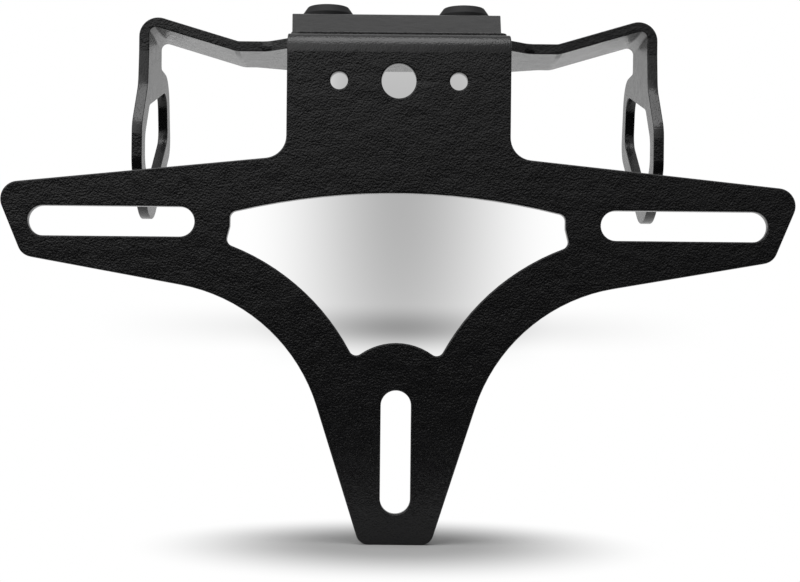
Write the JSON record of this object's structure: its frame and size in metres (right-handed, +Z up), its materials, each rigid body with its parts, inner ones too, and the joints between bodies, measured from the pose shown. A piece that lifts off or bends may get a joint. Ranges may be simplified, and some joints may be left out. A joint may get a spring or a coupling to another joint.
{
  "type": "license plate holder",
  "caption": "Bent sheet tail bracket for a motorbike: a slotted plate carrier with swept wings, arms with open indicator cheeks and a raised tail flange with spacers.",
  "frame": {"origin": "midway between the two tail bolts, on the top faces of their spacers, where the holder meets the bike", "axes": "+X to the right of someone who faces the plate, +Y forward to the bike, +Z up along the tail bolts"},
  "size_m": [0.199, 0.129, 0.1584],
  "materials": {
    "black_powder_coat": "fine-texture black powder coat on steel sheet, satin",
    "black_anodised": "turned aluminium, black anodised, satin",
    "black_screw": "steel with a black oxide finish, slightly oily",
    "zinc_steel": "bright zinc plated steel"
  },
  "bodies": {
    "root": {"plate_carrier": "black_powder_coat", "main_bracket": "black_powder_coat", "tail_spacer_left": "black_anodised", "tail_spacer_right": "black_anodised", "joint_screw_left": "black_screw", "joint_screw_right": "black_screw", "joint_washer_left": "zinc_steel", "joint_washer_right": "zinc_steel", "lock_nut_left": "zinc_steel", "lock_nut_right": "zinc_steel"}
  },
  "joints": []
}
